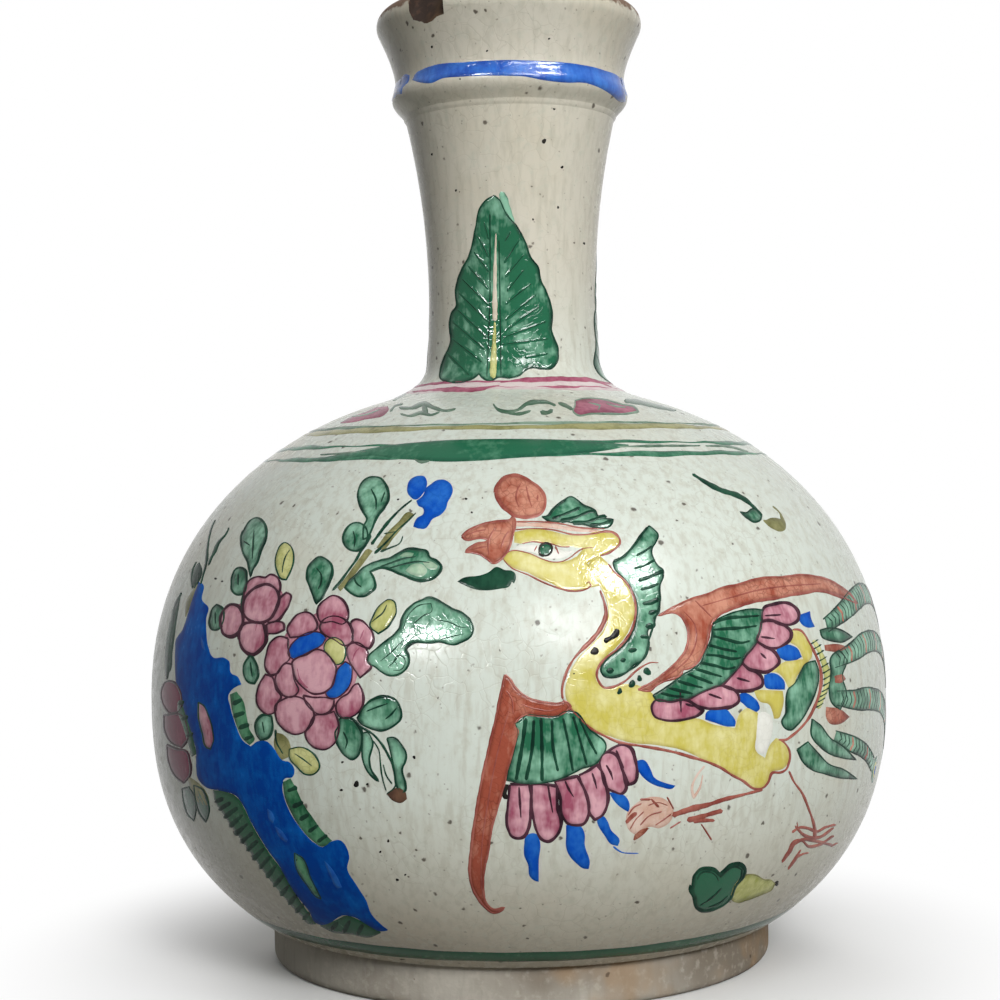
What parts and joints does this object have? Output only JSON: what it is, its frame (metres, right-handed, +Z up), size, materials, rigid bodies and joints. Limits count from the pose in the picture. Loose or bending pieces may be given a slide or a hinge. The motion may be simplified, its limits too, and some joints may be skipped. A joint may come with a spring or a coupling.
{
  "type": "bottle vase",
  "caption": "Globular bottle vase with a low foot ring, waisted neck, raised collar and rolled lip with a chip, hollow and open at the mouth.",
  "frame": {"origin": "centre of the foot ring's standing face, on the ground", "axes": "+Z up along the vase's turning axis, -Y towards the painted front, +X to the front's right-hand side"},
  "size_m": [0.2088, 0.2088, 0.2694],
  "materials": {
    "bare_clay": "unglazed, worn and stained",
    "cream_glaze": "glossy cream-grey glaze with fine crackle",
    "blue_enamel": "glossy painted enamel over glaze"
  },
  "bodies": {
    "root": {"foot_ring": "bare_clay", "lower_body": "cream_glaze", "upper_body": "cream_glaze", "neck": "cream_glaze", "collar_ring": "blue_enamel", "mouth_rim": "cream_glaze"}
  },
  "joints": []
}
